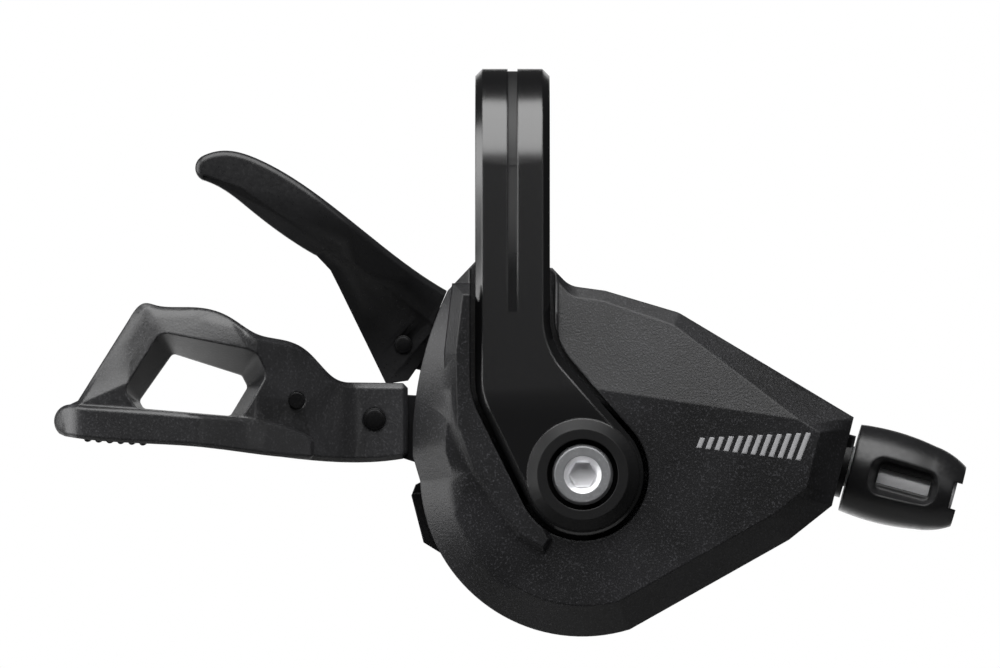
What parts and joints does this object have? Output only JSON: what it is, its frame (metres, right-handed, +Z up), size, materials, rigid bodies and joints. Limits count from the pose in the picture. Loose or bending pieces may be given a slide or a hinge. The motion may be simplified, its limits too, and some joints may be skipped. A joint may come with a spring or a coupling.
{
  "type": "trigger gear shifter",
  "caption": "Handlebar trigger gear shifter with a band clamp, a looped push lever, a small release paddle and a barrel cable adjuster.",
  "frame": {"origin": "centre of the handlebar clamp bore", "axes": "+X along the handlebar toward the cable outlet, +Y away from the front face, +Z up from the housing to the clamp"},
  "size_m": [0.1123, 0.0409, 0.0701],
  "materials": {
    "cover_plastic": "fine moulded grain",
    "case_plastic": "smooth moulded",
    "band_coating": "satin black anodised aluminium",
    "bolt_steel": "plated steel",
    "plate_steel": "stamped",
    "plug_rubber": "moulded",
    "guide_nylon": "natural nylon",
    "spring_steel": "drawn wire",
    "lever_plastic": "satin moulded",
    "paddle_plastic": "satin moulded",
    "rivet_black": "black oxide",
    "drum_nylon": "glass-filled nylon",
    "sleeve_plating": "nickel plated",
    "knob_plastic": "moulded"
  },
  "bodies": {
    "housing": {"upper_cover": "cover_plastic", "lower_case": "case_plastic", "clamp_band": "band_coating", "clamp_bolt": "bolt_steel", "base_plate": "plate_steel", "main_axle": "plate_steel", "axle_nut": "plate_steel", "cable_port_plug": "plug_rubber", "cable_guide": "guide_nylon", "pawl_pivot_pin": "plate_steel", "spring_post": "plate_steel", "lever_return_spring": "spring_steel", "drum_spring": "spring_steel", "cover_screw_1": "bolt_steel", "cover_screw_2": "bolt_steel", "cover_screw_3": "bolt_steel"},
    "main_lever": {"main_lever_plate": "plate_steel", "main_lever_grip": "lever_plastic", "main_lever_rivet_inner": "rivet_black", "main_lever_rivet_outer": "rivet_black", "winding_pawl_pin": "plate_steel"},
    "winding_pawl": {"winding_pawl": "plate_steel"},
    "release_lever": {"release_lever_plate": "plate_steel", "release_lever_grip": "paddle_plastic", "release_lever_rivet": "rivet_black"},
    "drum": {"cable_drum": "drum_nylon", "ratchet_plate": "plate_steel"},
    "position_pawl": {"position_pawl": "plate_steel"},
    "adjuster_sleeve": {"adjuster_sleeve": "sleeve_plating"},
    "adjuster_knob": {"adjuster_knob": "knob_plastic"}
  },
  "joints": [
    {"name": "main_lever_push", "type": "hinge", "parent": "housing", "child": "main_lever", "pos_m": [0.0086, 0, -0.0362], "axis": [0, 1, 0], "range_deg": [0, 24], "stiffness_Nm_per_rad": 0.15},
    {"name": "winding_pawl_engage", "type": "hinge", "parent": "main_lever", "child": "winding_pawl", "pos_m": [-0.00668, -0.008, -0.04058], "axis": [0, 1, 0], "range_deg": [0, 12], "stiffness_Nm_per_rad": 0.002},
    {"name": "release_lever_swing", "type": "hinge", "parent": "housing", "child": "release_lever", "pos_m": [0.0086, 0, -0.0362], "axis": [0, 1, 0], "range_deg": [-7, 7], "stiffness_Nm_per_rad": 0.2},
    {"name": "drum_turn", "type": "hinge", "parent": "housing", "child": "drum", "pos_m": [0.0086, 0, -0.0362], "axis": [0, 1, 0], "range_deg": [0, 132]},
    {"name": "position_pawl_engage", "type": "hinge", "parent": "housing", "child": "position_pawl", "pos_m": [0.01557, -0.008, -0.02191], "axis": [0, 1, 0], "range_deg": [0, 12], "stiffness_Nm_per_rad": 0.002},
    {"name": "adjuster_advance", "type": "slide", "parent": "housing", "child": "adjuster_sleeve", "axis": [0.965, 0, -0.2622], "range_m": [0, 0.0024]},
    {"name": "adjuster_turn", "type": "hinge", "parent": "adjuster_sleeve", "child": "adjuster_knob", "pos_m": [0.0415, -0.0004, -0.03538], "axis": [0.965, 0, -0.2622], "range_deg": [0, 1080]}
  ],
  "couplings": [
    {"joint": "adjuster_turn", "follows": "adjuster_advance", "rad_per_m": 7853.9}
  ]
}
